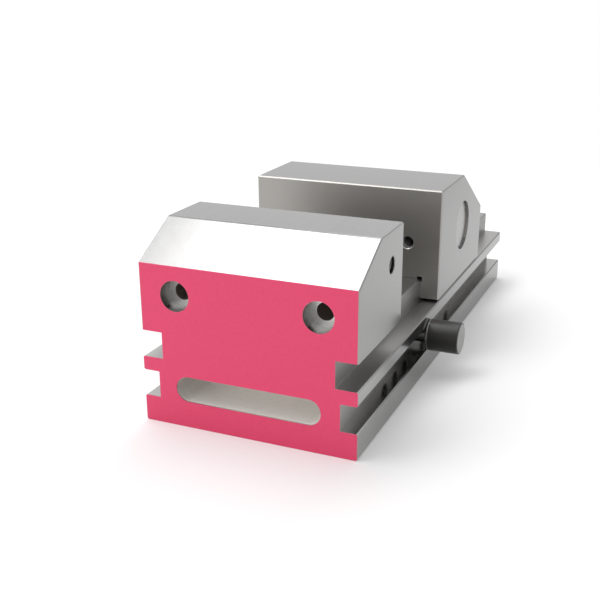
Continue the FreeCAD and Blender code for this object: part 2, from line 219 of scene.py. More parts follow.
# Holes: how far from its axis and how far in from a face each finish reaches
FACE_MARGIN = 0.0002
COUNTERBORE_REACH = 0.00478
PLATE_HOLE_REACH = 0.00279
STOP_HOLE_REACH = 0.00262
STOP_HOLE_MARGIN = 0.0001
INDEX_HOLE_REACH = 0.00309
INDEX_PITCH = 0.0106
INDEX_MOUTH = 0.02965
COUNTERBORE_ROUGHNESS = 0.30
DRILLED_ROUGHNESS = 0.55

# Slot in the front end: the room of its milled walls, and where the painted shade of its left end starts
SLOT_START = 0.0004
SLOT_DEPTH = 0.0165
SLOT_HALF_WIDTH = 0.0243
SLOT_BOTTOM = 0.0081
SLOT_TOP = 0.0172
SLOT_END_START = -0.0185
SLOT_END_SHARE = 0.75
SLOT_ROUGHNESS = (0.50, 0.62)
SLOT_DULLNESS = 0.6
SWIRL_SCALE = (420.0, 2600.0, 420.0)
SWIRL_SHARE = 0.5

# Coat of the front face, deeper in tone near the floor as painted shade, and thin along worn edges
COAT_DEPTH = 0.00006
COAT_PAINTED_SHADE_TOP = 0.016
COAT_PAINTED_SHADE_SHARE = 0.75
COAT_ROUGHNESS = (0.46, 0.56)
PEEL_SCALE = 900.0
PEEL_DETAIL = 2.0
PEEL_SHARE = 0.25
WORN_AMOUNT = (0.25, 0.9)
WORN_SHARE = 0.5

# Turned steel: the pitch of its rings with the roughness in and on them, and the smears over them
BARREL_RINGS = (0.00042, 0.18, 0.26)
PIN_RINGS = (0.00030, 0.24, 0.34)
WASHER_RINGS = (0.00025, 0.24, 0.34)
WIRE_RINGS = (0.00020, 0.30, 0.42)
TAPPED_RINGS = (0.0005, 0.34, 0.46)
RING_HEIGHT = 0.000002
SMEAR_SCALE = 700.0
SMEAR_TONE = 0.86
SMEAR_SHARE = 0.5
SMEAR_ROUGHER = (-0.03, 0.05)
TURNED_EDGE_SHARE = 0.8

# Black oxide
OXIDE_GRAIN_SCALE = 2600.0
OXIDE_GRAIN_HEIGHT = 0.000004
OXIDE_PATCH_SCALE = 240.0
OXIDE_PATCH_DETAIL = 4.0
OXIDE_RUB = (0.2, 0.9)
OXIDE_ROUGHNESS = (0.32, 0.46)
OXIDE_METALLIC = 0.85

# Black sleeve of the knob
SLEEVE_GRAIN_SCALE = (3200.0, 5200.0, 5200.0)
SLEEVE_GRAIN_DETAIL = 2.0
SLEEVE_GRAIN_HEIGHT = 0.000006
SLEEVE_HANDLED_SCALE = 160.0
SLEEVE_HANDLED_SHARE = 0.6
# Lighter rim along the sleeve's edges: partly wear, partly painted highlight
SLEEVE_EDGE_SHARE = 0.4
SLEEVE_ROUGHNESS = (0.34, 0.44)
SLEEVE_SPECULAR = 0.42

# Rubber ring
DUST_SCALE = 1800.0
DUST_HEIGHT = 0.000005
RUBBER_ROUGHNESS = (0.6, 0.8)

# Colours
STEEL = (0.322, 0.320, 0.318, 1.0)
STEEL_DARK = (0.288, 0.286, 0.284, 1.0)
# Side faces darker than tops: painted shade
STEEL_SIDE = (0.275, 0.273, 0.270, 1.0)
JAW_STEEL = (0.264, 0.262, 0.260, 1.0)
JAW_STEEL_DARK = (0.244, 0.242, 0.240, 1.0)
# Side faces of the jaw darker than its tops: painted shade
JAW_STEEL_SIDE = (0.190, 0.188, 0.186, 1.0)
STEEL_WARM = (0.390, 0.377, 0.356, 1.0)
# Outer edges of the steel: lighter partly from wear and partly as painted highlight
STEEL_EDGE = (0.44, 0.438, 0.434, 1.0)
GROOVE_SIDE = (0.30, 0.296, 0.290, 1.0)
GROOVE_LEDGE = (0.34, 0.336, 0.330, 1.0)
# Painted shade on the bevels along the grooves
GROOVE_BEVEL_SHADE = (0.17, 0.168, 0.165, 1.0)
# Painted light at the front of the body, and painted shade towards its rear
FRONT_PAINTED_LIGHT = (0.70, 0.695, 0.685, 1.0)
REAR_PAINTED_SHADE = (0.0, 0.0, 0.0, 1.0)
# Painted shade at the slot's left end
SLOT_END_PAINTED_SHADE = (0.42, 0.40, 0.38, 1.0)
# Painted highlight on the counterbore floors
COUNTERBORE_PAINTED_HIGHLIGHT = (0.62, 0.61, 0.59, 1.0)
BORE = (0.52, 0.46, 0.42, 1.0)
# Painted shade in the index holes and the stop hole
HOLE_PAINTED_SHADE = (0.05, 0.048, 0.046, 1.0)
MILLED = (0.92, 0.90, 0.87, 1.0)
MILLED_DARK = (0.80, 0.78, 0.75, 1.0)
COAT = (0.84, 0.060, 0.165, 1.0)
# Deeper coat, used for random speckle and for the painted shade near the floor
COAT_DEEP = (0.76, 0.050, 0.145, 1.0)
BLACK_OXIDE = (0.030, 0.029, 0.028, 1.0)
BLACK_OXIDE_EDGE = (0.16, 0.155, 0.15, 1.0)
SLEEVE_BLACK = (0.011, 0.010, 0.009, 1.0)
SLEEVE_RUB = (0.022, 0.020, 0.019, 1.0)
PIN_STEEL = (0.265, 0.262, 0.258, 1.0)
SPRING_STEEL = (0.30, 0.295, 0.29, 1.0)
RUBBER_BLACK = (0.018, 0.018, 0.018, 1.0)


class Nodes:
    """Short names for the nodes of a material or of the world."""

    def __init__(self, owner):
        owner.use_nodes = True
        self.owner = owner
        self.tree = owner.node_tree

    def link(self, source, target):
        self.tree.links.new(source, target)

    def put(self, socket, value):
        """Link an output, or write a plain value."""
        if isinstance(value, bpy.types.NodeSocket):
            self.link(value, socket)
        else:
            socket.default_value = value

    def math(self, kind, a, b=0.0, clamp=False):
        node = self.tree.nodes.new("ShaderNodeMath")
        node.operation = kind
        node.use_clamp = clamp
        self.put(node.inputs[0], a)
        self.put(node.inputs[1], b)
        return node.outputs[0]

    def above(self, value, limit):
        """One where a value is over a limit, zero elsewhere."""
        return self.math("GREATER_THAN", value, limit)

    def below(self, value, limit):
        """One where a value is under a limit, zero elsewhere."""
        return self.math("LESS_THAN", value, limit)

    def times(self, first, *others):
        """Product of values; of masks, one where all of them are one."""
        for other in others:
            first = self.math("MULTIPLY", first, other)
        return first

    def vector(self, kind, a, b=None):
        node = self.tree.nodes.new("ShaderNodeVectorMath")
        node.operation = kind
        self.put(node.inputs[0], a)
        if b is not None:
            self.put(node.inputs[1], b)
        return node.outputs["Value"] if kind in ("DOT_PRODUCT", "LENGTH") else node.outputs["Vector"]

    def split(self, source):
        node = self.tree.nodes.new("ShaderNodeSeparateXYZ")
        self.link(source, node.inputs[0])
        return node.outputs

    def join(self, x, y, z):
        node = self.tree.nodes.new("ShaderNodeCombineXYZ")
        for socket, value in zip(node.inputs, (x, y, z)):
            self.put(socket, value)
        return node.outputs[0]

    def remap(self, value, from_low, from_high, to_low, to_high):
        node = self.tree.nodes.new("ShaderNodeMapRange")
        self.put(node.inputs["Value"], value)
        limits = {"From Min": from_low, "From Max": from_high, "To Min": to_low, "To Max": to_high}
        for key, limit in limits.items():
            self.put(node.inputs[key], limit)
        return node.outputs["Result"]

    def mix_colour(self, factor, a, b):
        node = self.tree.nodes.new("ShaderNodeMix")
        node.data_type = "RGBA"
        self.put(node.inputs["Factor"], factor)
        self.put(node.inputs[6], a)
        self.put(node.inputs[7], b)
        return node.outputs[2]

    def mix_value(self, factor, a, b):
        node = self.tree.nodes.new("ShaderNodeMix")
        node.data_type = "FLOAT"
        self.put(node.inputs[0], factor)
        self.put(node.inputs[2], a)
        self.put(node.inputs[3], b)
        return node.outputs[0]


class MaterialNodes(Nodes):
    """Nodes of a new material, with its shader and the object's own coordinates."""

    def __init__(self, name):
        super().__init__(bpy.data.materials.new(name))
        self.shader = self.tree.nodes["Principled BSDF"]
        self.coordinates = self.tree.nodes.new("ShaderNodeTexCoord")
        self.place = self.coordinates.outputs["Object"]

    def face_way(self):
        """How much a face looks along each axis of the object, from 0 to 1."""
        return self.split(self.vector("ABSOLUTE", self.coordinates.outputs["Normal"]))

    def noise(self, scale, detail=3.0, roughness=0.5):
        """Noise over the object, with one scale for all axes or one for each."""
        scales = scale if isinstance(scale, tuple) else (scale, scale, scale)
        node = self.tree.nodes.new("ShaderNodeTexNoise")
        self.link(self.vector("MULTIPLY", self.place, scales), node.inputs["Vector"])
        node.inputs["Scale"].default_value = 1.0
        node.inputs["Detail"].default_value = detail
        node.inputs["Roughness"].default_value = roughness
        return node.outputs["Fac"]

    def spread(self, noise, low, high, span=NOISE_SPAN):
        """A noise, which mostly lies within its span, spread from low to high."""
        return self.remap(noise, span[0], span[1], low, high)

    def bump(self, height, distance, under=None):
        node = self.tree.nodes.new("ShaderNodeBump")
        node.inputs["Distance"].default_value = distance
        node.inputs["Strength"].default_value = 1.0
        self.link(height, node.inputs["Height"])
        if under is not None:
            self.link(under, node.inputs["Normal"])
        return node.outputs["Normal"]

    def edge_mask(self, radius):
        """One along an outer edge, zero on flat faces and in inner corners."""
        within = self.tree.nodes.new("ShaderNodeAmbientOcclusion")
        within.inside = True
        within.only_local = True
        within.samples = OPEN_SAMPLES
        within.inputs["Distance"].default_value = radius
        return self.remap(within.outputs["AO"], OPEN_AT_FACE, OPEN_AT_EDGE, 0.0, 1.0)

    def rounded_normal(self, edge, radius):
        """The face's normal, rounded where the mask shows an outer edge."""
        flat = self.tree.nodes.new("ShaderNodeNewGeometry")
        rounded = self.tree.nodes.new("ShaderNodeBevel")
        rounded.samples = ROUND_SAMPLES
        rounded.inputs["Radius"].default_value = radius
        normal = self.tree.nodes.new("ShaderNodeMix")
        normal.data_type = "VECTOR"
        self.link(self.remap(edge, 0.0, ROUND_FROM, 0.0, 1.0), normal.inputs[0])
        self.link(flat.outputs["Normal"], normal.inputs[4])
        self.link(rounded.outputs["Normal"], normal.inputs[5])
        return normal.outputs[1]

    def finish(self, colour, roughness, normal, metallic=0.0):
        """Give the shader its values and hand over the material."""
        self.put(self.shader.inputs["Base Color"], colour)
        self.put(self.shader.inputs["Roughness"], roughness)
        self.put(self.shader.inputs["Normal"], normal)
        self.put(self.shader.inputs["Metallic"], metallic)
        return self.owner


def grinding_marks(kit, ends, scales):
    """Height of the grinding marks: along the vise on tops and sides, across it on the end faces."""
    fine, coarse = scales
    along = kit.noise((fine, coarse, fine), MARK_DETAIL, MARK_CONTRAST)
    across = kit.noise((coarse, fine, fine), MARK_DETAIL, MARK_CONTRAST)
    return kit.mix_value(ends, along, across)


def ground_steel(name, light, dark, side, coated=False):
    """Hardened steel with fine grinding marks, edges lighter by wear and painted highlight, and slightly
    clouded polish.
    """
    kit = MaterialNodes(name)
    facing = kit.face_way()
    ends = kit.above(facing[1], LOOKS_ALONG)
    sides = kit.above(facing[0], LOOKS_ALONG)
    slopes = kit.times(kit.above(facing[1], LOOKS_ASLANT), kit.above(facing[2], LOOKS_ASLANT))
    fine = grinding_marks(kit, ends, FINE_MARKS)
    broad = grinding_marks(kit, ends, BROAD_MARKS)
    clouds = kit.noise(CLOUD_SCALE)
    edge = kit.edge_mask(GROUND_EDGE)

    marked = kit.times(kit.spread(broad, 0.0, 1.0), BROAD_MARK_SHARE)
    clouded = kit.times(kit.spread(clouds, 0.0, 1.0, NARROW_SPAN), CLOUD_SHARE)
    colour = kit.mix_colour(kit.math("ADD", marked, clouded), dark, light)
    # Side faces are mixed towards a darker colour: painted shade
    colour = kit.mix_colour(kit.times(sides, SIDE_SHARE), colour, side)
    colour = kit.mix_colour(kit.times(ends, END_SHARE), colour, STEEL_WARM)
    # Outer edges lighter, partly wear and partly painted highlight; none on the slopes
    edge_share = kit.remap(slopes, 0.0, 1.0, EDGE_SHARE, 0.0)
    colour = kit.mix_colour(kit.times(edge, edge_share), colour, STEEL_EDGE)

    rough = kit.math("ADD", GROUND_ROUGHNESS, kit.times(facing[2], TOP_ROUGHER))
    rough = kit.math("ADD", rough, kit.times(ends, END_ROUGHER))
    rough = kit.math("ADD", rough, kit.spread(fine, *FINE_ROUGHER, WIDE_SPAN))
    rough = kit.math("ADD", rough, kit.spread(clouds, *CLOUD_ROUGHER))

    metallic = 1.0
    if coated:
        colour, rough = groove_finish(kit, facing, colour, rough)
        colour = painted_light_along(kit, facing, colour)
        colour, rough = hole_finish(kit, colour, rough)
        colour, rough, in_slot = slot_finish(kit, facing, colour, rough)
        colour, rough, cover = coat_finish(kit, edge, clouds, colour, rough)
        dull = kit.math("MAXIMUM", cover, kit.times(in_slot, SLOT_DULLNESS))
        metallic = kit.math("SUBTRACT", 1.0, dull)
    normal = kit.bump(fine, FINE_HEIGHT, kit.bump(broad, BROAD_HEIGHT))
    return kit.finish(colour, rough, normal, metallic)


def groove_finish(kit, facing, colour, rough):
    """Sides, ledges and bevels of the grooves along the body, the sides left milled and rougher, the
    bevels darkened as painted shade.
    """
    place = kit.split(kit.place)
    reach = kit.math("ABSOLUTE", place[0])
    low = kit.below(place[2], LEDGE_TOP)
    side = kit.times(kit.above(facing[0], LOOKS_ALONG), kit.below(reach, GROOVE_REACH))
    ledge = kit.times(kit.above(facing[2], LOOKS_UP), low, kit.above(reach, LEDGE_START))
    bevel = kit.times(kit.above(facing[2], LOOKS_ASLANT), kit.above(facing[0], LOOKS_ASLANT), low)
    colour = kit.mix_colour(side, colour, GROOVE_SIDE)
    colour = kit.mix_colour(ledge, colour, GROOVE_LEDGE)
    # Painted shade on the bevels below the ledge top
    colour = kit.mix_colour(bevel, colour, GROOVE_BEVEL_SHADE)
    rough = kit.mix_value(side, rough, GROOVE_ROUGHNESS)
    on_rail = kit.above(place[2], RAIL_TOP_ABOVE)
    ledge_rough = kit.mix_value(on_rail, LEDGE_ROUGHNESS, RAIL_TOP_ROUGHNESS)
    return colour, kit.mix_value(ledge, rough, ledge_rough)


def painted_light_along(kit, facing, colour):
    """Painted light on flange and rail at their front end, and painted shade over the whole body towards
    the rear.
    """
    place = kit.split(kit.place)
    low = kit.below(place[2], LEDGE_TOP)
    ahead = kit.times(low, kit.remap(place[1], FRONT_FACE, FRONT_TONE_END, 1.0, 0.0))
    gain = kit.remap(facing[2], 0.0, 1.0, FRONT_SIDE_GAIN, FRONT_LEDGE_GAIN)
    colour = kit.mix_colour(kit.times(ahead, gain), colour, FRONT_PAINTED_LIGHT)
    loss = kit.remap(place[1], REAR_TONE_START, REAR_TONE_END, 0.0, REAR_LOSS)
    ledges = kit.times(low, facing[2])
    loss = kit.times(loss, kit.remap(ledges, 0.0, 1.0, 1.0, REAR_LEDGE_SHARE))
    return kit.mix_colour(loss, colour, REAR_PAINTED_SHADE)


def near_axis(kit, centre, axis, radius):
    """One inside a round hole's radius, at any depth, zero elsewhere."""
    offset = kit.vector("SUBTRACT", kit.place, tuple(centre))
    off_axis = kit.vector("CROSS_PRODUCT", offset, tuple(axis))
    return kit.below(kit.vector("LENGTH", off_axis), radius)


def index_hole_mask(kit, place):
    """One in the holes of the index row, zero elsewhere; the pin lies in one of them."""
    from_pin = kit.math("SUBTRACT", place[1], PIN_CENTRE.y)
    to_nearest = kit.math("PINGPONG", from_pin, INDEX_PITCH / 2.0)
    above_pin = kit.math("SUBTRACT", place[2], PIN_CENTRE.z)
    off_hole = kit.vector("LENGTH", kit.join(to_nearest, above_pin, 0.0))
    inside = kit.below(kit.math("ABSOLUTE", place[0]), INDEX_MOUTH)
    return kit.times(kit.below(off_hole, INDEX_HOLE_REACH), inside)


def hole_finish(kit, colour, rough):
    """Counterbore floors lightened as painted highlight, screw holes drilled, index holes and stop hole
    darkened as painted shade.
    """
    place = kit.split(kit.place)
    behind_front = kit.above(place[1], FRONT_FACE + FACE_MARGIN)
    ahead = kit.below(place[1], THROAT_FRONT - FACE_MARGIN)
    for side in (-1.0, 1.0):
        centre = PLATE_HOLE * Vector((side, 1.0, 1.0))
        bored = kit.times(near_axis(kit, centre, ALONG_Y, COUNTERBORE_REACH), behind_front, ahead)
        drilled = kit.times(near_axis(kit, centre, ALONG_Y, PLATE_HOLE_REACH), ahead)
        # Painted highlight on the counterbore floors
        colour = kit.mix_colour(bored, colour, COUNTERBORE_PAINTED_HIGHLIGHT)
        rough = kit.mix_value(bored, rough, COUNTERBORE_ROUGHNESS)
        colour = kit.mix_colour(drilled, colour, BORE)
        rough = kit.mix_value(drilled, rough, DRILLED_ROUGHNESS)
    # Painted shade in the index holes
    colour = kit.mix_colour(index_hole_mask(kit, place), colour, HOLE_PAINTED_SHADE)
    # Painted shade in the stop hole
    within = kit.times(kit.below(place[0], BODY_HIGH.x - STOP_HOLE_MARGIN), kit.above(place[0], 0.0))
    tapped = kit.times(near_axis(kit, STOP_HOLE, ALONG_X, STOP_HOLE_REACH), within)
    colour = kit.mix_colour(tapped, colour, HOLE_PAINTED_SHADE)
    return colour, kit.mix_value(tapped, rough, DRILLED_ROUGHNESS)


def slot_finish(kit, facing, colour, rough):
    """Milled walls of the slot in the front end, its left end darkened as painted shade, and the mask of
    the slot.
    """
    place = kit.split(kit.place)
    in_depth = kit.times(kit.above(place[1], FRONT_FACE + SLOT_START),
                         kit.below(place[1], FRONT_FACE + SLOT_DEPTH))
    in_width = kit.below(kit.math("ABSOLUTE", place[0]), SLOT_HALF_WIDTH)
    in_height = kit.times(kit.above(place[2], SLOT_BOTTOM), kit.below(place[2], SLOT_TOP))
    in_slot = kit.times(in_depth, in_width, in_height)
    swirl = kit.noise(SWIRL_SCALE)
    milled = kit.mix_colour(kit.spread(swirl, 0.0, SWIRL_SHARE), MILLED, MILLED_DARK)
    colour = kit.mix_colour(in_slot, colour, milled)
    rough = kit.mix_value(in_slot, rough, kit.spread(swirl, *SLOT_ROUGHNESS))
    # Painted shade at the slot's left end
    left_end = kit.times(kit.below(place[0], SLOT_END_START), in_slot, facing[0])
    colour = kit.mix_colour(kit.times(left_end, SLOT_END_SHARE), colour, SLOT_END_PAINTED_SHADE)
    return colour, rough, in_slot


def coat_finish(kit, edge, clouds, colour, rough):
    """Coat over the front face, deeper near the floor as painted shade, thin along its worn edges, and
    how much of the face it covers.
    """
    place = kit.split(kit.place)
    peel = kit.noise(PEEL_SCALE, PEEL_DETAIL)
    # Painted shade: the coat deepens in tone towards the floor
    shade = kit.remap(place[2], 0.0, COAT_PAINTED_SHADE_TOP, COAT_PAINTED_SHADE_SHARE, 0.0)
    deep = kit.math("ADD", shade, kit.spread(peel, 0.0, PEEL_SHARE), clamp=True)
    coat = kit.mix_colour(deep, COAT, COAT_DEEP)
    worn = kit.times(edge, kit.spread(clouds, *WORN_AMOUNT, WEAR_SPAN))
    whole = kit.math("SUBTRACT", 1.0, kit.times(worn, WORN_SHARE))
    cover = kit.times(kit.below(place[1], FRONT_FACE + COAT_DEPTH), whole)
    colour = kit.mix_colour(cover, colour, coat)
    rough = kit.mix_value(cover, rough, kit.spread(peel, *COAT_ROUGHNESS))
    return colour, rough, cover


def turned_rings(kit, centre, axis, pitch):
    """Wave from 0 to 1 that repeats with the distance from an axis and along it."""
    offset = kit.vector("SUBTRACT", kit.place, tuple(centre))
    along = kit.vector("DOT_PRODUCT", offset, tuple(axis))
    radius = kit.vector("LENGTH", kit.vector("CROSS_PRODUCT", offset, tuple(axis)))
    turns = kit.times(kit.math("ADD", radius, along), 2.0 * math.pi / pitch)
    return kit.remap(kit.math("SINE", turns), -1.0, 1.0, 0.0, 1.0)


def turned_steel(name, centre, axis, colour, edge_colour, rings):
    """Turned and polished steel, with fine rings about its own axis."""
    pitch, rough_low, rough_high = rings
    smeared = tuple(part * SMEAR_TONE for part in colour[:3]) + (1.0,)
    kit = MaterialNodes(name)
    wave = turned_rings(kit, centre, axis, pitch)
    smear = kit.noise(SMEAR_SCALE)
    edge = kit.edge_mask(TURNED_EDGE)
    tint = kit.mix_colour(kit.spread(smear, 0.0, SMEAR_SHARE), colour, smeared)
    # Outer edges mixed towards the edge colour; where it is lighter, partly wear and partly painted
    # highlight
    tint = kit.mix_colour(kit.times(edge, TURNED_EDGE_SHARE), tint, edge_colour)
    ringed = kit.remap(wave, 0.0, 1.0, rough_low, rough_high)
    rough = kit.math("ADD", ringed, kit.spread(smear, *SMEAR_ROUGHER))
    normal = kit.bump(wave, RING_HEIGHT, kit.rounded_normal(edge, TURNED_EDGE))
    return kit.finish(tint, rough, normal, metallic=1.0)


def black_oxide(name):
    """Blackened hardened steel, rubbed lighter along its edges."""
    kit = MaterialNodes(name)
    grain = kit.noise(OXIDE_GRAIN_SCALE)
    patches = kit.noise(OXIDE_PATCH_SCALE, OXIDE_PATCH_DETAIL)
    edge = kit.edge_mask(OXIDE_EDGE)
    rub = kit.times(edge, kit.spread(patches, *OXIDE_RUB, NARROW_SPAN))
    colour = kit.mix_colour(rub, BLACK_OXIDE, BLACK_OXIDE_EDGE)
    rough = kit.spread(patches, *OXIDE_ROUGHNESS)
    normal = kit.bump(grain, OXIDE_GRAIN_HEIGHT, kit.rounded_normal(edge, OXIDE_EDGE))
    return kit.finish(colour, rough, normal, OXIDE_METALLIC)


def satin_sleeve(name):
    """Black sleeve with a fine even grain."""
    kit = MaterialNodes(name)
    grain = kit.noise(SLEEVE_GRAIN_SCALE, SLEEVE_GRAIN_DETAIL)
    handled = kit.noise(SLEEVE_HANDLED_SCALE)
    edge = kit.edge_mask(SLEEVE_EDGE)
    worn = kit.spread(handled, 0.0, SLEEVE_HANDLED_SHARE, NARROW_SPAN)
    # Random handled wear, and a lighter rim along the edges that is partly wear and partly painted
    # highlight
    tone = kit.math("ADD", worn, kit.times(edge, SLEEVE_EDGE_SHARE), clamp=True)
    colour = kit.mix_colour(tone, SLEEVE_BLACK, SLEEVE_RUB)
    rough = kit.spread(handled, *SLEEVE_ROUGHNESS)
    normal = kit.bump(grain, SLEEVE_GRAIN_HEIGHT, kit.rounded_normal(edge, SLEEVE_EDGE))
    kit.put(kit.shader.inputs["Specular IOR Level"], SLEEVE_SPECULAR)
    return kit.finish(colour, rough, normal)


def rubber(name):
    """Plain black rubber with a dusty surface."""
    kit = MaterialNodes(name)
    dust = kit.noise(DUST_SCALE)
    colour = kit.mix_colour(dust, RUBBER_BLACK, SLEEVE_RUB)
    return kit.finish(colour, kit.spread(dust, *RUBBER_ROUGHNESS), kit.bump(dust, DUST_HEIGHT))


def dress(names, material):
    """Give CAD nodes a material through their slots."""
    for name in names:
        slots = NODES[name].material_slots
        if not slots:
            NODES[name].data.materials.append(material)
        for slot in slots:
            slot.material = material


def dress_all():
    """Materials of every carried-over piece."""
    body = ground_steel("body_ground_steel", STEEL, STEEL_DARK, STEEL_SIDE, coated=True)
    jaw = ground_steel("jaw_ground_steel", JAW_STEEL, JAW_STEEL_DARK, JAW_STEEL_SIDE)
    barrel = turned_steel("barrel_steel", BARREL_CENTRE, ALONG_X, STEEL, STEEL_EDGE, BARREL_RINGS)
    pin = turned_steel("pin_steel", PIN_CENTRE, ALONG_X, PIN_STEEL, STEEL_EDGE, PIN_RINGS)
    washer = turned_steel("washer_steel", BARREL_CENTRE, SCREW_AXIS, STEEL_DARK, STEEL_EDGE, WASHER_RINGS)
    spring = turned_steel("spring_steel", BARREL_CENTRE, SCREW_AXIS, SPRING_STEEL, STEEL_DARK, WIRE_RINGS)
    dress(["body"], body)
    dress(["movable_jaw"], jaw)
    dress(["pivot_barrel"], barrel)
    dress(["index_pin", "pin_collar"], pin)
    dress(["head_washer", "lower_washer"], washer)
    dress(["keeper_ring", "return_spring"], spring)
    dress(["clamping_screw"], black_oxide("screw_black_oxide"))
    dress(["pull_block"], black_oxide("block_black_oxide"))
    dress(["knob_sleeve"], satin_sleeve("sleeve_black"))
    dress(["pin_ring"], rubber("ring_rubber"))


def add_mesh(name, vertices, faces, material, body, slot):
    """Closed piece from points and faces, riding on a body."""
    mesh = bpy.data.meshes.new(name)
    mesh.from_pydata(vertices, [], faces)
    shape = bmesh.new()
    shape.from_mesh(mesh)
    bmesh.ops.recalc_face_normals(shape, faces=shape.faces)
    shape.to_mesh(mesh)
    shape.free()
    mesh.materials.append(material)
    piece = bpy.data.objects.new(name, mesh)
    bpy.context.scene.collection.objects.link(piece)
    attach(piece, body)
    return piece


def outward_from(axis, angle):
    """Unit vector square to an axis, turned about it by an angle."""
    across = axis.orthogonal().normalized()
    return across * math.cos(angle) + axis.cross(across) * math.sin(angle)


def helical_ridge(start, axis, foot, crest, pitch, length):
    """Points and faces of a thread's ridge, which fades out over its first and last turn."""
    steps = round(length / pitch * THREAD_STEPS)
    vertices = []
    for step in range(steps + 1):
        outward = outward_from(axis, 2.0 * math.pi * step / THREAD_STEPS)
        fade = min(1.0, max(THREAD_LEAST_FADE, min(step, steps - step) / THREAD_STEPS))
        top = foot + (crest - foot) * fade
        for radius, shift in ((foot, -THREAD_FOOT_HALF), (top, -THREAD_CREST_HALF),
                              (top, THREAD_CREST_HALF), (foot, THREAD_FOOT_HALF)):
            along = pitch * (step / THREAD_STEPS + shift * fade)
            vertices.append(start + axis * along + outward * radius)
    faces = [(0, 1, 2, 3), tuple(4 * steps + corner for corner in (3, 2, 1, 0))]
    for step in range(steps):
        for corner in range(4):
            here = 4 * step + corner
            beside = 4 * step + (corner + 1) % 4
            faces.append((here, beside, beside + 4, here + 4))
    return vertices, faces


def knurl_ridges(centre, axis):
    """Points and faces of the straight ridges round the screw's head."""
    half_foot = KNURL_RIDGE_SHARE * math.pi / KNURL_COUNT
    vertices = []
    faces = []
    for count in range(KNURL_COUNT):
        middle = 2.0 * math.pi * count / KNURL_COUNT
        first = len(vertices)
        for along in (KNURL_FROM, KNURL_TO):
            for turn, radius in ((-half_foot, KNURL_FOOT), (0.0, KNURL_CREST), (half_foot, KNURL_FOOT)):
                vertices.append(centre + axis * along + outward_from(axis, middle + turn) * radius)
        for face in ((0, 1, 2), (5, 4, 3), (0, 3, 4, 1), (1, 4, 5, 2), (2, 5, 3, 0)):
            faces.append(tuple(first + corner for corner in face))
    return vertices, faces


def tapped_ridge(mouth, inward, radius, pitch):
    """Thread ridge that stands on the wall of a tapped hole."""
    foot = radius + TAPPED_FOOT_SUNK
    crest = radius - TAPPED_CREST_PROUD
    return helical_ridge(mouth, inward, foot, crest, pitch, TAPPED_THREAD_LENGTH)


def screw_details():
    """Thread of the screw, lower where the pull block takes it, and the knurl of its head."""
    blackened = black_oxide("thread_black_oxide")
    for label, first, last, crest in (("tip", SCREW_TIP, SCREW_THREAD_MIDDLE, SCREW_CREST_IN_BLOCK),
                                      ("top", SCREW_THREAD_MIDDLE, SCREW_THREAD_TOP, SCREW_CREST)):
        start = BARREL_CENTRE + SCREW_AXIS * first
        ridge = helical_ridge(start, SCREW_AXIS, SCREW_FOOT, crest, SCREW_PITCH, last - first)
        add_mesh("screw_thread_" + label, *ridge, blackened, "screw", "black_screw")
    knurl = knurl_ridges(BARREL_CENTRE, SCREW_AXIS)
    add_mesh("screw_knurl", *knurl, blackened, "screw", "black_screw")


def tapped_threads():
    """Threads of the work stop's hole and of the moving jaw's two plate holes."""
    cut_steel = turned_steel("tapped_thread_steel", STOP_HOLE, ALONG_X, PIN_STEEL, STEEL_DARK,
                             TAPPED_RINGS)
    mouth = Vector((BODY_HIGH.x - TAPPED_THREAD_INSET, STOP_HOLE.y, STOP_HOLE.z))
    radius = MOUNTS["work_stop_hole"]["dims"]["r_mm"] / MM_PER_M
    ridge = tapped_ridge(mouth, -ALONG_X, radius, STOP_THREAD_PITCH)
    add_mesh("stop_hole_thread", *ridge, cut_steel, "base", "ground_steel")
    plate = MOUNTS["moving_jaw_screws"]
    radius = plate["dims"]["hole_r_mm"] / MM_PER_M
    for side, label in ((-1.0, "left"), (1.0, "right")):
        mouth = Vector(plate["pos_m"]) + ALONG_Y * TAPPED_THREAD_INSET
        mouth.x = side * plate["dims"]["spacing_x_mm"] / 2.0 / MM_PER_M
        ridge = tapped_ridge(mouth, ALONG_Y, radius, PLATE_THREAD_PITCH)
        add_mesh("plate_hole_thread_" + label, *ridge, cut_steel, "jaw", "ground_steel")


def spring_height(turn):
    """Height of the wire's centre after some turns; the end turns lie closed, one wire apart."""
    wire = 2.0 * SPRING_WIRE_RADIUS
    room = SPRING_TOP - SPRING_BOTTOM - wire
    closed = SPRING_CLOSED_TURNS * wire
    open_turns = SPRING_TURNS - 2.0 * SPRING_CLOSED_TURNS
    lifted = min(max((turn - SPRING_CLOSED_TURNS) / open_turns, 0.0), 1.0)
    at_end = min(turn, SPRING_CLOSED_TURNS) + max(turn - SPRING_TURNS + SPRING_CLOSED_TURNS, 0.0)
    return SPRING_BOTTOM + wire / 2.0 + at_end * wire + lifted * (room - 2.0 * closed)


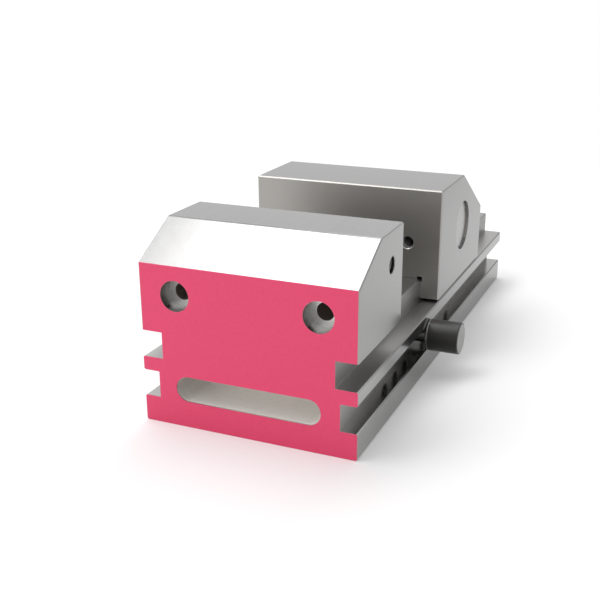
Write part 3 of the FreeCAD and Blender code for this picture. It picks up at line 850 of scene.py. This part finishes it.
def return_spring():
    """Coil of round wire with closed ends."""
    steps = round(SPRING_TURNS * SPRING_STEPS)
    vertices = []
    for step in range(steps + 1):
        turn = step / SPRING_STEPS
        outward = outward_from(SCREW_AXIS, 2.0 * math.pi * turn)
        middle = BARREL_CENTRE + SCREW_AXIS * spring_height(turn) + outward * SPRING_RADIUS
        for side in range(SPRING_SIDES):
            angle = 2.0 * math.pi * side / SPRING_SIDES
            rim = outward * math.cos(angle) + SCREW_AXIS * math.sin(angle)
            vertices.append(middle + rim * SPRING_WIRE_RADIUS)
    faces = [tuple(range(SPRING_SIDES)),
             tuple(steps * SPRING_SIDES + side for side in reversed(range(SPRING_SIDES)))]
    for step in range(steps):
        for side in range(SPRING_SIDES):
            here = step * SPRING_SIDES + side
            beside = step * SPRING_SIDES + (side + 1) % SPRING_SIDES
            faces.append((here, beside, beside + SPRING_SIDES, here + SPRING_SIDES))
    wire = turned_steel("wire_steel", BARREL_CENTRE, SCREW_AXIS, SPRING_STEEL, STEEL_DARK, WIRE_RINGS)
    coil = add_mesh("return_spring_coil", vertices, faces, wire, "puller", "spring_steel")
    for polygon in coil.data.polygons:
        polygon.use_smooth = len(polygon.vertices) == 4
    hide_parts("return_spring")
    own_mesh(coil)


def shown(kit):
    """One for rays that show a thing, straight, mirrored or through glass; zero for its light."""
    path = kit.tree.nodes.new("ShaderNodeLightPath")
    seen = kit.math("MAXIMUM", path.outputs["Is Camera Ray"], path.outputs["Is Glossy Ray"])
    return kit.math("MAXIMUM", seen, path.outputs["Is Transmission Ray"])


def floor_white():
    """Matt white, a little brighter where it shows, that turns into the white background far off."""
    kit = MaterialNodes("floor_white")
    kit.put(kit.shader.inputs["Base Color"], FLOOR_COLOUR)
    kit.put(kit.shader.inputs["Roughness"], FLOOR_ROUGHNESS)
    kit.put(kit.shader.inputs["Specular IOR Level"], 0.0)
    seen = shown(kit)
    lift = kit.tree.nodes.new("ShaderNodeEmission")
    kit.link(kit.times(seen, FLOOR_SHOWN_BRIGHTER), lift.inputs["Strength"])
    near = kit.tree.nodes.new("ShaderNodeAddShader")
    kit.link(kit.shader.outputs[0], near.inputs[0])
    kit.link(lift.outputs[0], near.inputs[1])
    background = kit.tree.nodes.new("ShaderNodeEmission")
    distance = kit.vector("LENGTH", kit.place)
    far = kit.remap(distance, FLOOR_FADE_START, FLOOR_FADE_END, 0.0, 1.0)
    blend = kit.tree.nodes.new("ShaderNodeMixShader")
    kit.link(kit.times(far, seen), blend.inputs[0])
    kit.link(near.outputs[0], blend.inputs[1])
    kit.link(background.outputs[0], blend.inputs[2])
    kit.link(blend.outputs[0], kit.tree.nodes["Material Output"].inputs["Surface"])
    return kit.owner


def floor():
    """Plain white floor, which keeps the object's shadow."""
    half = FLOOR_SIZE / 2.0
    corners = [(-half, -half), (half, -half), (half, half), (-half, half)]
    mesh = bpy.data.meshes.new("floor")
    mesh.from_pydata([(x, y, -FLOOR_DROP) for x, y in corners], [], [(0, 1, 2, 3)])
    mesh.materials.append(floor_white())
    plane = bpy.data.objects.new("floor", mesh)
    bpy.context.scene.collection.objects.link(plane)


def world():
    """Even white surroundings, which show brighter than they light."""
    sky = bpy.data.worlds.new("studio")
    bpy.context.scene.world = sky
    kit = Nodes(sky)
    background = kit.tree.nodes["Background"]
    level = kit.remap(shown(kit), 0.0, 1.0, DOME_LEVEL, BACKGROUND_LEVEL)
    kit.put(background.inputs["Color"], WHITE)
    kit.put(background.inputs["Strength"], level)


def area_light(name, power, width, depth, direction, distance):
    """Rectangular light that looks at the origin from one direction."""
    lamp = bpy.data.lights.new(name, "AREA")
    lamp.shape = "RECTANGLE"
    lamp.size = width
    lamp.size_y = depth
    lamp.energy = power
    light = bpy.data.objects.new(name, lamp)
    way = direction.normalized()
    light.location = way * distance
    light.rotation_euler = way.to_track_quat("Z", "Y").to_euler()
    bpy.context.scene.collection.objects.link(light)


def lights():
    """A long soft light above the vise, left of its middle, and a broad weak one at the front left."""
    area_light("softbox", SOFTBOX_POWER, SOFTBOX_WIDTH, SOFTBOX_DEPTH,
               SOFTBOX_DIRECTION, SOFTBOX_DISTANCE)
    area_light("fill", FILL_POWER, FILL_SIZE, FILL_SIZE, FILL_DIRECTION, FILL_DISTANCE)


def camera():
    """Camera at the photograph's angle."""
    lens = bpy.data.cameras.new("camera")
    lens.sensor_width = SENSOR_WIDTH
    lens.lens = FOCAL_PIXELS / PHOTO_SIZE * SENSOR_WIDTH
    lens.clip_start = CAMERA_CLIP_START
    eye = bpy.data.objects.new("camera", lens)
    flat = math.cos(CAMERA_ELEVATION)
    back = Vector((math.sin(CAMERA_AZIMUTH) * flat, -math.cos(CAMERA_AZIMUTH) * flat,
                   math.sin(CAMERA_ELEVATION)))
    right = Vector((math.cos(CAMERA_AZIMUTH), math.sin(CAMERA_AZIMUTH), 0.0))
    up = back.cross(right)
    turn = Matrix((right, up, back)).transposed().to_4x4() @ Matrix.Rotation(CAMERA_ROLL, 4, "Z")
    eye.matrix_world = Matrix.Translation(CAMERA_FROM_FRONT + Vector((0.0, FRONT_FACE, 0.0))) @ turn
    bpy.context.scene.collection.objects.link(eye)
    bpy.context.scene.camera = eye


dress_all()
screw_details()
tapped_threads()
return_spring()
floor()
world()
lights()
camera()
bpy.context.scene.view_settings.view_transform = "Standard"
